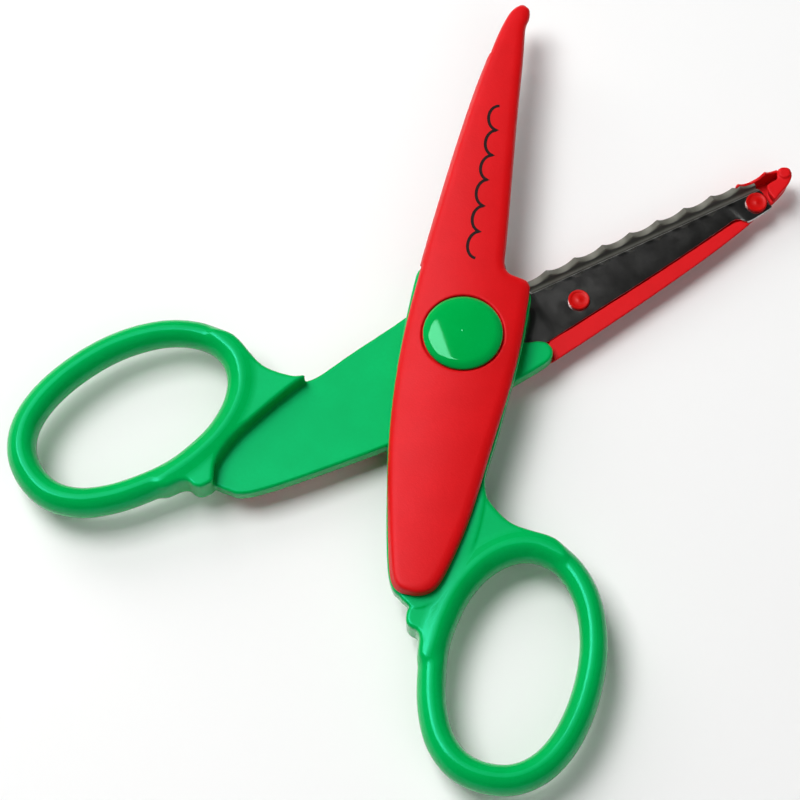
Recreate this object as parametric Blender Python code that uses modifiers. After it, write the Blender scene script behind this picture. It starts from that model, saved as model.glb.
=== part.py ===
"""Decorative edge scissors: two half-scissors that turn on one rivet.

Each half is a moulded handle (finger loop, thick root, flat arm), a stamped steel blade whose edge is
flanged towards the other blade and pressed into scallops, and a moulded cover riveted to the blade's
outer side. A domed button hides each end of the pivot rivet.

Frame: the pivot axis is the Z axis, the blades point along +Y, and the scissors lie on the flat land of
the rear button at z = 0. Both halves are built in the same closed-scissors frame, in which x runs across
the half towards its finger loop, y along the half towards the tip, and z outwards from the shear plane.
"""

import math

import bmesh
import bpy
from mathutils import Vector

COLLECTION = "decorative_edge_scissors"
MM = 0.001

# Outlines below are control points in millimetres; every other dimension is in metres.
HALF_OPENING = math.radians(23.5)
WELD = 0.00001
ROUND_STEPS = 28

# Handle: the arm lies on the shear plane, the root and the finger loop pass through it.
ARM_INNER_Z = 0.00015
ARM_OUTER_Z = 0.0027
ARM_ROUNDING = 0.0005
POCKET_FLOOR_Z = 0.0016
POCKET_CLEARANCE = 0.0003
ROOT_HALF_HEIGHT = 0.0026
ROOT_ROUNDING = 0.0006
LOOP_HALF_WIDTH = 0.0021
LOOP_HALF_HEIGHT = 0.0029
LOOP_SIDE_STEPS = 2

# Blade: plate, flange and scalloped land.
PLATE_INNER_Z = 0.0019
PLATE_OUTER_Z = 0.0027
STEEL = PLATE_OUTER_Z - PLATE_INNER_Z
PLATE_EDGE_FROM_Y = 0.015
SCALLOP_PITCH = 0.00495
SCALLOP_DEPTH = 0.0016
CUSP_ROUNDING = 0.00012
SCALLOP_STEPS = 6
FIRST_CUSP_R = 0.01885
BAND_START_R = 0.0152
BAND_END_R = 0.0527
EDGE_CLEARANCE = 0.00008
LAND_WIDTH = 0.0009
FLANGE_FOOT_WIDTH = 0.00115
FLANGE_FOOT_Z = 0.00095
FOLD_WIDTH = 0.0016
FLANGE_OVERLAP = 0.0022

# The cutting edge is a straight line seen from above: EDGE_X0 + EDGE_SLOPE * y.
# The front blade's edge is set back, so that the front cover hides it.
EDGE_X0 = 0.00586
EDGE_SLOPE = -0.098
FRONT_SETBACK = 0.0008
SETBACK_FADE_Y = (0.050, 0.058)

# Cover: crowned plate, spine rim, tip block with its nub, and the lip beside the flange's end.
COVER_INNER_Z = 0.0030
COVER_OUTER_Z = 0.0050
COVER_ROUNDING = 0.0012
RIM_TOP_Z = 0.0022
TIP_BLOCK_TOP_Z = 0.0004
NUB_TOP_Z = 0.00012
NUB_RADIUS = 0.00095
NUB_AT = (-0.00165, 0.0614)
LIP_START_R = 0.0531
LIP_END_R = 0.0610
LIP_WIDTH = 0.0006
REAR_TAIL_INSET = 0.0008
REAR_TAIL_FROM_Y = -0.011
REAR_TAIL_FULL_Y = -0.017

# Blade rivets.
RIVETS = {"root": (-0.0025, 0.0206), "tip": (-0.0032, 0.0549)}
RIVET_SHANK_R = 0.0011
RIVET_HOLE_R = 0.0014
RIVET_HEAD_R = 0.0018
RIVET_HEAD_TOP_Z = 0.0012
RIVET_HEAD_BASE_Z = 0.0016
RIVET_DISH = 0.0002
RIVET_END_Z = 0.0039
RIVET_SOCKET_Z = 0.0042

# Pivot.
PIVOT_SHANK_R = 0.0020
PIVOT_BORE_R = 0.0021
PIVOT_HEAD_R = 0.0030
PIVOT_HEAD_INNER_Z = 0.0030
PIVOT_HEAD_OUTER_Z = 0.0037
WASHER_BORE_R = 0.0023
WASHER_R = 0.0032
WASHER_INNER_Z = 0.0029
WASHER_OUTER_Z = 0.0032
FORMED_HEAD_INNER_Z = 0.0034
FORMED_HEAD_OUTER_Z = 0.0039
COVER_EYE_R = 0.0035
BUTTON_RECESS_R = 0.0066
BUTTON_RECESS_Z = 0.0042
BUTTON_R = 0.00635
BUTTON_INNER_Z = 0.0045
BUTTON_RIM_Z = 0.00545
BUTTON_TOP_Z = 0.0060
BUTTON_HUB_R = 0.0031
BUTTON_HUB_Z = 0.0042
REAR_LAND_R = 0.0026
DOME_STEPS = 5

ARM_OUTLINE = [
    (-9.6, 8.8), (-9.2, 10.9), (-8.1, 11.9), (-6.7, 11.8), (-5.6, 10.7), (-4.5, 8.7), (-2.0, 7.6), (2.5, 7.6),
    (6.3, 8.6), (8.2, 10.2), (9.2, 9.7), (9.45, 8.0), (9.6, 2.0), (9.4, -4.0), (9.05, -8.0), (8.55, -15.5),
    (8.15, -19.5), (7.95, -23.0), (8.7, -27.0), (8.6, -33.0), (7.4, -39.0), (4.8, -44.0), (1.6, -46.2),
    (-0.4, -45.35), (-1.4, -44.6), (-2.6, -43.7), (-3.55, -42.0), (-4.35, -39.5), (-5.5, -34.5), (-6.85, -27.5),
    (-8.1, -20.5), (-9.05, -13.0), (-9.5, -6.0), (-9.65, 1.0),
]
ROOT_OUTLINE = [
    (8.1, -24.6), (9.1, -26.2), (11.2, -28.1), (13.4, -29.4), (16.5, -30.1), (20.5, -30.9), (22.3, -33.4),
    (17.5, -32.4), (13.0, -33.8), (9.8, -36.8), (7.3, -41.2), (5.9, -46.3), (5.4, -51.0), (4.7, -53.4),
    (3.5, -53.0), (3.05, -50.6), (2.3, -49.5), (1.2, -49.1), (0.45, -48.4), (0.2, -47.3), (0.3, -46.2),
    (1.0, -45.6), (2.7, -44.3), (4.2, -42.1), (5.4, -39.0), (6.25, -35.0), (7.05, -31.0), (7.65, -27.4),
]
LOOP_CENTRE_LINE = [
    (29.6, -50.5), (29.1, -45.2), (27.6, -40.2), (25.4, -36.5), (22.7, -33.9), (19.8, -32.6), (16.5, -32.4),
    (13.0, -33.8), (9.8, -36.8), (7.3, -41.2), (5.9, -46.3), (5.4, -51.0), (5.9, -56.3), (7.1, -61.3),
    (9.2, -65.6), (12.6, -68.7), (16.9, -69.8), (21.3, -69.1), (25.0, -66.4), (27.6, -62.0), (29.1, -56.5),
]
PLATE_OUTLINE = [
    (-6.0, 12.0), (-5.75, 17.0), (-5.5, 22.5), (-5.05, 32.5), (-4.5, 41.5), (-4.0, 48.0), (-3.8, 50.0),
    (-4.2, 50.9), (-5.0, 51.5), (-5.3, 52.4), (-5.3, 54.5), (-5.15, 56.5), (-4.6, 56.8), (-2.0, 56.9),
    (-1.2, 56.4), (-0.95, 54.0), (-0.3, 46.0), (0.5, 38.0), (1.3, 30.0), (2.05, 22.0), (2.75, 15.5),
    (4.2, 14.3), (5.2, 11.0), (6.0, 5.0), (6.2, 0.0), (5.0, -5.5), (2.6, -9.0), (0.0, -10.2),
    (-2.6, -9.0), (-5.0, -5.5), (-6.2, 0.0), (-6.3, 6.0),
]
COVER_OUTLINE = [
    (-1.2, 62.3), (-0.45, 61.85), (-0.15, 60.9), (-0.1, 59.4), (-0.35, 57.8), (-0.1, 54.5), (0.35, 50.0),
    (0.9, 44.0), (1.5, 38.0), (2.1, 32.5), (2.7, 27.0), (3.3, 21.5), (3.8, 17.0), (4.05, 14.6), (4.5, 13.1),
    (5.4, 12.25), (6.8, 12.0), (8.1, 11.75), (8.9, 11.0), (9.15, 9.6), (9.35, 4.0), (9.4, -1.0), (9.1, -7.0),
    (8.5, -13.5), (7.9, -20.0), (7.3, -27.0), (6.6, -32.5), (5.6, -37.5), (4.5, -41.5), (3.4, -43.3),
    (1.6, -44.2), (-0.6, -44.35), (-2.0, -43.8), (-3.1, -42.2), (-4.1, -39.0), (-5.4, -33.5), (-6.8, -27.0),
    (-8.0, -20.0), (-8.9, -12.5), (-9.35, -5.0), (-9.45, 1.0), (-9.25, 9.0), (-8.95, 16.0), (-8.5, 23.0),
    (-7.95, 30.5), (-7.25, 38.5), (-6.5, 45.5), (-5.7, 51.0), (-5.0, 55.5), (-4.3, 58.8), (-3.5, 60.9),
    (-2.4, 62.1),
]
RIM_OUTLINE = [
    (-8.98, 12.6), (-8.8, 16.5), (-8.38, 23.0), (-7.83, 30.5), (-7.13, 38.5), (-6.38, 45.5), (-5.75, 50.0),
    (-5.6, 51.1), (-5.15, 51.0), (-4.85, 50.4), (-4.7, 49.6), (-4.85, 47.0), (-5.25, 41.5), (-5.8, 32.5),
    (-6.25, 22.5), (-6.5, 17.0), (-6.75, 12.6),
]
TIP_BLOCK_OUTLINE = [
    (-4.8, 57.4), (-4.35, 58.8), (-3.6, 61.0), (-2.5, 62.35), (-1.3, 62.65), (-0.6, 62.0), (-0.4, 61.1),
    (-1.0, 60.3), (-1.8, 59.7), (-1.75, 58.5), (-2.1, 57.6), (-3.2, 57.25),
]
HALVES = {"front": 1.0, "rear": -1.0}


def clear_scene():
    for obj in list(bpy.data.objects):
        bpy.data.objects.remove(obj)


def smooth_loop(points, steps=1):
    """The closed Catmull-Rom loop through control points in millimetres, as vectors in metres."""
    count = len(points)
    loop = []
    for i in range(count):
        a, b, c, d = (Vector(points[(i + k) % count]) * MM for k in (-1, 0, 1, 2))
        for step in range(steps):
            t = step / steps
            cubic = 3 * b - a - 3 * c + d
            square = 2 * a - 5 * b + 4 * c - d
            loop.append((2 * b + (c - a) * t + square * t**2 + cubic * t**3) / 2)
    return loop


def inset_loop(loop, distance_at):
    """The loop moved inwards along its normals; distance_at gives the inset at a point."""
    count = len(loop)
    area = sum(loop[i - 1].cross(loop[i]) for i in range(count))
    inward = math.copysign(1.0, area)
    moved = []
    for i in range(count):
        along = (loop[(i + 1) % count] - loop[i - 1]).normalized()
        moved.append(loop[i] + inward * distance_at(loop[i]) * Vector((-along.y, along.x)))
    return moved


def mesh_object(name, mesh):
    obj = bpy.data.objects.new(name, mesh)
    bpy.context.scene.collection.objects.link(obj)
    return obj


def finish_mesh(bm, name):
    bmesh.ops.remove_doubles(bm, verts=bm.verts, dist=WELD)
    bmesh.ops.recalc_face_normals(bm, faces=bm.faces)
    mesh = bpy.data.meshes.new(name)
    bm.to_mesh(mesh)
    bm.free()
    return mesh


def curve_to_mesh(obj):
    """Replaces a curve object by a welded mesh object with its transform applied."""
    bpy.context.scene.collection.objects.link(obj)
    bpy.context.view_layer.update()
    evaluated = obj.evaluated_get(bpy.context.evaluated_depsgraph_get())
    bm = bmesh.new()
    raw = bpy.data.meshes.new_from_object(evaluated)
    bm.from_mesh(raw)
    bm.transform(obj.matrix_world)
    name = obj.name
    bpy.data.meshes.remove(raw)
    bpy.data.objects.remove(obj)
    return mesh_object(name, finish_mesh(bm, name))


def slab(name, loop, z_low, z_high, rounding=0.0, bevel_steps=1):
    """A flat plate with the loop as its outline and both of its rims rounded."""
    curve = bpy.data.curves.new(name, "CURVE")
    curve.dimensions = "2D"
    curve.fill_mode = "BOTH"
    curve.extrude = (z_high - z_low) / 2 - rounding
    curve.bevel_depth = rounding
    curve.bevel_resolution = bevel_steps
    curve.offset = -rounding
    spline = curve.splines.new("POLY")
    spline.points.add(len(loop) - 1)
    for point, at in zip(spline.points, loop):
        point.co = (at.x, at.y, 0.0, 1.0)
    spline.use_cyclic_u = True
    obj = bpy.data.objects.new(name, curve)
    obj.location.z = (z_low + z_high) / 2
    return curve_to_mesh(obj)


def keep_above(obj, z):
    """Cuts off what lies below a height and closes the cut."""
    bm = bmesh.new()
    bm.from_mesh(obj.data)
    everything = bm.verts[:] + bm.edges[:] + bm.faces[:]
    cut = bmesh.ops.bisect_plane(bm, geom=everything, plane_co=(0, 0, z), plane_no=(0, 0, 1), clear_inner=True)
    rim = [part for part in cut["geom_cut"] if isinstance(part, bmesh.types.BMEdge)]
    bmesh.ops.edgeloop_fill(bm, edges=rim)
    obj.data = finish_mesh(bm, obj.name)
    return obj


def cylinder(name, radius, z_low, z_high, at=(0.0, 0.0), sides=ROUND_STEPS):
    bm = bmesh.new()
    bmesh.ops.create_cone(
        bm, cap_ends=True, segments=sides, radius1=radius, radius2=radius, depth=z_high - z_low
    )
    bmesh.ops.translate(bm, verts=bm.verts, vec=(at[0], at[1], (z_low + z_high) / 2))
    return mesh_object(name, finish_mesh(bm, name))


def combine(target, tools, operation, solver="EXACT"):
    """Applies Boolean modifiers to the target and removes their tools."""
    for tool in tools:
        modifier = target.modifiers.new(tool.name, "BOOLEAN")
        modifier.operation = operation
        modifier.solver = solver
        modifier.object = tool
    bpy.context.view_layer.update()
    evaluated = target.evaluated_get(bpy.context.evaluated_depsgraph_get())
    bm = bmesh.new()
    raw = bpy.data.meshes.new_from_object(evaluated)
    bm.from_mesh(raw)
    bpy.data.meshes.remove(raw)
    target.modifiers.clear()
    target.data = finish_mesh(bm, target.name)
    for tool in tools:
        bpy.data.objects.remove(tool)
    return target


def turned(name, profile, closed=False):
    """A turned piece from (radius, height) pairs that run down its outer side."""
    mesh = bpy.data.meshes.new(name)
    count = len(profile)
    edges = [(i, i + 1) for i in range(count - 1)]
    if closed:
        edges.append((count - 1, 0))
    mesh.from_pydata([(radius, 0.0, height) for radius, height in profile], edges, [])
    obj = mesh_object(name, mesh)
    screw = obj.modifiers.new("turn", "SCREW")
    screw.steps = ROUND_STEPS
    screw.render_steps = ROUND_STEPS
    screw.use_merge_vertices = True
    screw.merge_threshold = WELD
    return combine(obj, [], "UNION")


def setback(side):
    return FRONT_SETBACK if side > 0 else 0.0


def on_arc(radius, width, side):
    """The point at this radius from the pivot, this far inside the cutting edge."""
    reach = EDGE_X0 - setback(side) - width
    a = 1 + EDGE_SLOPE**2
    b = 2 * reach * EDGE_SLOPE
    c = reach**2 - radius**2
    y = (-b + math.sqrt(b * b - 4 * a * c)) / (2 * a)
    return Vector((reach + EDGE_SLOPE * y, y))


def scallop(radius):
    """Height of the shear surface: hanging arcs that meet in upward cusps, a function of radius only.

    Both blades follow it, so they stay in mesh at every angle of the pivot.
    """
    chord = SCALLOP_PITCH / 2
    arc_r = (chord**2 + SCALLOP_DEPTH**2) / (2 * SCALLOP_DEPTH)
    from_middle = abs((radius - FIRST_CUSP_R) % SCALLOP_PITCH - chord)
    along = chord - math.hypot(chord - from_middle, CUSP_ROUNDING)
    return arc_r - math.sqrt(arc_r**2 - along**2) - SCALLOP_DEPTH / 2


def scallop_stations(start_r, end_r):
    """Radii from start to end that include every cusp."""
    step = SCALLOP_PITCH / SCALLOP_STEPS
    first = math.floor((start_r - FIRST_CUSP_R) / step) + 1
    inside = []
    while FIRST_CUSP_R + first * step < end_r - step / 2:
        inside.append(FIRST_CUSP_R + first * step)
        first += 1
    return [start_r] + inside + [end_r]


def loft(name, sections):
    """A closed strip through sections of equal point count, with its two ends filled."""
    bm = bmesh.new()
    rings = [[bm.verts.new(point) for point in section] for section in sections]
    count = len(rings[0])
    for ring, after in zip(rings, rings[1:]):
        for i in range(count):
            j = (i + 1) % count
            bm.faces.new((ring[i], ring[j], after[j], after[i]))
    bm.faces.new(rings[0])
    bm.faces.new(rings[-1])
    bmesh.ops.triangulate(bm, faces=bm.faces)
    return mesh_object(name, finish_mesh(bm, name))


def flange_section(radius, side):
    """Across the flange at one radius: inner face from the edge to the plate, then back along the outer."""
    land_z = side * scallop(radius) + EDGE_CLEARANCE
    inner = [
        (0.0, land_z),
        (LAND_WIDTH, land_z),
        (FLANGE_FOOT_WIDTH, max(FLANGE_FOOT_Z, land_z)),
        (FOLD_WIDTH, PLATE_INNER_Z + 0.1 * STEEL),
        (FLANGE_OVERLAP, PLATE_INNER_Z + 0.1 * STEEL),
    ]
    outer = [
        (FLANGE_OVERLAP, PLATE_OUTER_Z - 0.1 * STEEL),
        (FOLD_WIDTH - 0.3 * STEEL, PLATE_OUTER_Z - 0.2 * STEEL),
        (FLANGE_FOOT_WIDTH - 0.5 * STEEL, max(FLANGE_FOOT_Z, land_z) + 0.9 * STEEL),
        (0.0, land_z + 0.75 * STEEL),
    ]
    section = []
    for width, height in inner + outer:
        at = on_arc(radius, width, side)
        section.append((at.x, at.y, height))
    return section


def lip_section(radius, side):
    """Across the cover's moulded scallops at one radius."""
    land_z = side * scallop(radius) + 2 * EDGE_CLEARANCE
    deep = COVER_INNER_Z + 0.15 * (COVER_OUTER_Z - COVER_INNER_Z)
    edge, inside = on_arc(radius, 0.1 * LIP_WIDTH, side), on_arc(radius, LIP_WIDTH, side)
    return [(*edge, land_z), (*inside, land_z), (*inside, deep), (*edge, deep)]


def pivot_bore(name):
    return cylinder(name, PIVOT_BORE_R, -0.001, 0.01)


def plate_loop(side):
    """The plate's outline; its edge side follows the setback, which fades out beside the tip rivet."""
    fade_start, fade_end = SETBACK_FADE_Y
    spine = min(x for x, y in PLATE_OUTLINE) * MM
    loop = []
    for at in smooth_loop(PLATE_OUTLINE):
        fade = min(max((fade_end - at.y) / (fade_end - fade_start), 0.0), 1.0)
        on_edge_side = at.x > spine / 3 and at.y > PLATE_EDGE_FROM_Y
        loop.append(Vector((at.x - setback(side) * fade * on_edge_side, at.y)))
    return loop


def build_handle(name, side):
    arm = slab(name, smooth_loop(ARM_OUTLINE), ARM_INNER_Z, ARM_OUTER_Z, ARM_ROUNDING)
    root = slab("root", smooth_loop(ROOT_OUTLINE), -ROOT_HALF_HEIGHT, ROOT_HALF_HEIGHT, ROOT_ROUNDING, 2)
    plate = inset_loop(plate_loop(side), lambda at: -POCKET_CLEARANCE)
    pocket = slab("pocket", plate, POCKET_FLOOR_Z, 2 * ARM_OUTER_Z)
    combine(arm, [root, finger_loop()], "UNION")
    return combine(arm, [pocket, pivot_bore("bore")], "DIFFERENCE")


def finger_loop():
    """The loop: a closed tube of oval section, a little thicker at the end of the handle."""
    curve = bpy.data.curves.new("loop", "CURVE")
    curve.dimensions = "3D"
    curve.bevel_depth = LOOP_HALF_WIDTH
    curve.bevel_resolution = LOOP_SIDE_STEPS
    centre_line = smooth_loop(LOOP_CENTRE_LINE, 2)
    spline = curve.splines.new("POLY")
    spline.points.add(len(centre_line) - 1)
    top = max(at.y for at in centre_line)
    bottom = min(at.y for at in centre_line)
    for point, at in zip(spline.points, centre_line):
        point.co = (at.x, at.y, 0.0, 1.0)
        point.radius = 1.0 + 0.12 * (top - at.y) / (top - bottom)
    spline.use_cyclic_u = True
    obj = bpy.data.objects.new("loop", curve)
    obj.scale.z = LOOP_HALF_HEIGHT / (LOOP_HALF_WIDTH * 1.12)
    return curve_to_mesh(obj)


def build_blade(name, side):
    plate = slab(name, plate_loop(side), PLATE_INNER_Z, PLATE_OUTER_Z)
    radii = scallop_stations(BAND_START_R, BAND_END_R)
    flange = loft("flange", [flange_section(radius, side) for radius in radii])
    combine(plate, [flange], "UNION", "MANIFOLD")
    holes = [cylinder("hole", RIVET_HOLE_R, 0.001, 0.004, at, 16) for at in RIVETS.values()]
    return combine(plate, [*holes, pivot_bore("bore")], "DIFFERENCE")


def build_cover(name, side):
    def tail_inset(at):
        share = (REAR_TAIL_FROM_Y - at.y) / (REAR_TAIL_FROM_Y - REAR_TAIL_FULL_Y)
        return REAR_TAIL_INSET * min(max(share, 0.0), 1.0) if side < 0 else 0.0

    outline = inset_loop(smooth_loop(COVER_OUTLINE), tail_inset)
    depth = COVER_OUTER_Z - COVER_INNER_Z
    cover = slab(name, outline, COVER_INNER_Z - depth, COVER_OUTER_Z, COVER_ROUNDING, 2)
    keep_above(cover, COVER_INNER_Z)
    lip_radii = scallop_stations(LIP_START_R, LIP_END_R)
    lip = loft("lip", [lip_section(radius, side) for radius in lip_radii])
    rim = slab("rim", smooth_loop(RIM_OUTLINE), RIM_TOP_Z, COVER_INNER_Z + 0.0002)
    block = slab("block", smooth_loop(TIP_BLOCK_OUTLINE), TIP_BLOCK_TOP_Z, COVER_INNER_Z + 0.0003)
    nub = cylinder("nub", NUB_RADIUS, NUB_TOP_Z, COVER_INNER_Z, NUB_AT, 12)
    combine(cover, [rim, lip, block, nub], "UNION")
    sockets = [
        cylinder("socket", RIVET_HOLE_R, 0.0025, RIVET_SOCKET_Z, at, 16) for at in RIVETS.values()
    ]
    eye = cylinder("eye", COVER_EYE_R, 0.0025, COVER_OUTER_Z)
    recess = cylinder("recess", BUTTON_RECESS_R, BUTTON_RECESS_Z, 2 * COVER_OUTER_Z)
    return combine(cover, [*sockets, eye, recess], "DIFFERENCE")


def build_rivet(name, at):
    """A plastic rivet: a dished round head on the plate's inner face, its shank in the cover."""
    profile = [
        (0.0, RIVET_END_Z),
        (RIVET_SHANK_R, RIVET_END_Z),
        (RIVET_SHANK_R, RIVET_HEAD_BASE_Z),
        (RIVET_HEAD_R, RIVET_HEAD_BASE_Z),
        (RIVET_HEAD_R, RIVET_HEAD_TOP_Z + RIVET_DISH),
        (0.9 * RIVET_HEAD_R, RIVET_HEAD_TOP_Z),
        (0.7 * RIVET_HEAD_R, RIVET_HEAD_TOP_Z),
        (0.55 * RIVET_HEAD_R, RIVET_HEAD_TOP_Z + RIVET_DISH),
        (0.0, RIVET_HEAD_TOP_Z + RIVET_DISH),
    ]
    rivet = turned(name, profile)
    rivet.location.xy = at
    return rivet


def dome_z(radius):
    """Height of a button's spherical crown at a radius from the pivot."""
    rise = BUTTON_TOP_Z - BUTTON_RIM_Z
    sphere_r = (BUTTON_R**2 + rise**2) / (2 * rise)
    return BUTTON_TOP_Z - sphere_r + math.sqrt(sphere_r**2 - radius**2)


def build_button(name, land_r):
    """The domed cap over the pivot, with a hub below it; land_r is the radius of its flat crown."""
    profile = [(0.0, dome_z(land_r))]
    for step in range(DOME_STEPS + 1):
        radius = land_r + (BUTTON_R - land_r) * step / DOME_STEPS
        if radius > 0:
            profile.append((radius, dome_z(radius)))
    profile += [
        (BUTTON_R, BUTTON_INNER_Z),
        (BUTTON_HUB_R, BUTTON_INNER_Z),
        (BUTTON_HUB_R, BUTTON_HUB_Z),
        (0.0, BUTTON_HUB_Z),
    ]
    return turned(name, profile)


def build_pivot_rivet(name):
    """The steel rivet, in the front half's sense of z: its own head above, its formed head below."""
    profile = [
        (0.0, PIVOT_HEAD_OUTER_Z),
        (0.8 * PIVOT_HEAD_R, PIVOT_HEAD_OUTER_Z),
        (PIVOT_HEAD_R, PIVOT_HEAD_INNER_Z + 0.0003),
        (PIVOT_HEAD_R, PIVOT_HEAD_INNER_Z),
        (PIVOT_SHANK_R, PIVOT_HEAD_INNER_Z),
        (PIVOT_SHANK_R, -FORMED_HEAD_INNER_Z),
        (PIVOT_HEAD_R, -FORMED_HEAD_INNER_Z),
        (0.75 * PIVOT_HEAD_R, -FORMED_HEAD_OUTER_Z),
        (0.0, -FORMED_HEAD_OUTER_Z),
    ]
    return turned(name, profile)


def build_washer(name):
    profile = [
        (WASHER_R, WASHER_OUTER_Z),
        (WASHER_R, WASHER_INNER_Z),
        (WASHER_BORE_R, WASHER_INNER_Z),
        (WASHER_BORE_R, WASHER_OUTER_Z),
    ]
    return turned(name, profile, closed=True)


def material(name, colour, roughness, metallic=0.0):
    made = bpy.data.materials.new(name)
    made.use_nodes = True
    made.diffuse_color = (*colour, 1.0)
    shader = made.node_tree.nodes["Principled BSDF"]
    shader.inputs["Base Color"].default_value = (*colour, 1.0)
    shader.inputs["Roughness"].default_value = roughness
    shader.inputs["Metallic"].default_value = metallic
    return made


def half_frame(name, front):
    """The empty on the pivot axis that carries one half at its open angle."""
    empty = bpy.data.objects.new(name, None)
    empty.location.z = dome_z(REAR_LAND_R)
    empty.rotation_euler = (0.0, 0.0, HALF_OPENING) if front else (0.0, math.pi, -HALF_OPENING)
    return empty


def main():
    clear_scene()
    parts = bpy.data.collections.new(COLLECTION)
    bpy.context.scene.collection.children.link(parts)
    looks = {
        "handle": ((0.0, 0.42, 0.14), 0.25, 0.0),
        "blade": ((0.55, 0.55, 0.53), 0.22, 1.0),
        "cover": ((0.80, 0.03, 0.03), 0.42, 0.0),
        "rivet": ((0.82, 0.04, 0.03), 0.35, 0.0),
        "button": ((0.0, 0.42, 0.14), 0.15, 0.0),
        "pivot": ((0.60, 0.60, 0.60), 0.3, 1.0),
    }

    def place(obj, kind, frame):
        obj.parent = frame
        obj.data.materials.clear()
        obj.data.materials.append(material(obj.name, *looks[kind]))
        obj.data.shade_smooth()
        obj.data.set_sharp_from_angle(angle=math.radians(35))
        parts.objects.link(obj)
        bpy.context.scene.collection.objects.unlink(obj)

    for half, side in HALVES.items():
        frame = half_frame(half + "_half", side > 0)
        parts.objects.link(frame)
        place(build_handle(half + "_handle", side), "handle", frame)
        place(build_blade(half + "_blade", side), "blade", frame)
        place(build_cover(half + "_cover", side), "cover", frame)
        for where, at in RIVETS.items():
            place(build_rivet(half + "_" + where + "_rivet", at), "rivet", frame)
        land_r = 0.0 if side > 0 else REAR_LAND_R
        place(build_button(half + "_button", land_r), "button", frame)
        if side < 0:
            rivet = build_pivot_rivet("pivot_rivet")
            place(rivet, "pivot", frame)
            rivet.rotation_euler.y = math.pi
            place(build_washer("pivot_washer"), "pivot", frame)


main()
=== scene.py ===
"""Looks of the decorative edge scissors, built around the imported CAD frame.

The moulded pieces (handles and covers) are fields of signed distance, turned into smooth closed meshes.
The blades are lofted sheet metal, and the buttons and rivets are turned. Every piece is built in the
closed-scissors frame of its half: x across towards the finger loop, y towards the tip, z outwards from the
shear plane. Plans, fields and outlines are in millimetres; meshes, cameras and lights are in metres.
"""

import math
from itertools import product

import bmesh
import bpy
import numpy as np
from mathutils import Matrix, Vector


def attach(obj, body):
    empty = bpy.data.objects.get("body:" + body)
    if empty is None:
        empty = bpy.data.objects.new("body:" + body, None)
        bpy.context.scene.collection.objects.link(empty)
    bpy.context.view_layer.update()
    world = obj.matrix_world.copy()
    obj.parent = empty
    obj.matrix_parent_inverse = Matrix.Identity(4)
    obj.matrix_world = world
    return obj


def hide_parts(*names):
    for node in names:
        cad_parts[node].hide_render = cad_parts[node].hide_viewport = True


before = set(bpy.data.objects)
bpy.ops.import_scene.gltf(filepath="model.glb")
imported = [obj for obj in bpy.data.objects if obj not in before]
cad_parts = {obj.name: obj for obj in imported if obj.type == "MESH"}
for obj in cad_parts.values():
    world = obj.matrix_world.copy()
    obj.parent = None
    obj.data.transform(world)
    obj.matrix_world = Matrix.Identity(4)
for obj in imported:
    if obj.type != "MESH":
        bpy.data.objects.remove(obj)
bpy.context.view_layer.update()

MM = 0.001
HALF_OPENING = math.radians(23.5)
MID_Z = 0.005908
WELD = 0.000002
SHARP_ANGLE = math.radians(32)

# Camera, in the frame of the CAD: metres, and the lens and sensor in millimetres.
VIEW_TILT = math.radians(23.63)
VIEW_AZIMUTH = math.radians(-52.15)
VIEW_UP = math.radians(124.85)
VIEW_AT = Vector((-0.00290, -0.01352, 0.005908))
VIEW_DISTANCE = 0.4625
VIEW_LENS = 130.7
VIEW_SENSOR = 36.0
VIEW_CLIP_START = 0.01

# Everything from here to the studio is in millimetres. Grids: steps and boxes of the fields.
PLAN_STEP = 0.1
PLAN_MARGIN = 3.0
HANDLE_STEP = 0.27
HANDLE_BOX = ((-10.6, -73.6, -3.6), (33.2, 13.2, 3.6))
COVER_STEP = 0.2
COVER_BOX = ((-10.2, -45.2, -0.6), (10.2, 63.6, 5.4))
FIELD_LOOP_STEPS = 6
SHEET_LOOP_STEPS = 4

# Handle: a flat arm with a pocket for the blade, a thicker root and an oval loop that swells downwards.
ARM_Z = (0.15, 2.7)
ARM_ROUNDING = 0.45
ROOT_Z = (-2.6, 2.6)
ROOT_ROUNDING = 0.55
ROOT_FILLET = 0.3
LOOP_HALF_WIDTH = 2.1
LOOP_HALF_HEIGHT = 2.6
LOOP_SWELL = 0.12
LOOP_FILLET = 1.6
POCKET_FLOOR_Z = 1.6
POCKET_CLEARANCE = 0.3
POCKET_ROUNDING = 0.2
BORE_R = 2.1

# Blade: a plate, and a scalloped flange along its cutting edge.
PLATE_Z = (1.9, 2.7)
PLATE_ROUNDING = 0.14
SCALLOP_PITCH = 4.95
SCALLOP_DEPTH = 1.6
CUSP_ROUNDING = 0.18
FIRST_CUSP_R = 18.85
BAND_START_R = 15.2
BAND_END_R = 52.7
TONGUE_END_R = 56.3
TONGUE_TRIM = 0.66
TONGUE_STEP = 0.3
TONGUE_SPREAD = 0.02
BAND_STATIONS_PER_PITCH = 22
EDGE_X0 = 5.86
EDGE_SLOPE = -0.098
FRONT_SETBACK = 0.8
SETBACK_FADE_Y = (58.0, 50.0)
PLATE_EDGE_FROM_Y = 15.0
TIP_TUCK = 0.55
TIP_TUCK_FROM = (-4.0, 50.0)
EDGE_CLEARANCE = 0.08

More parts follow.
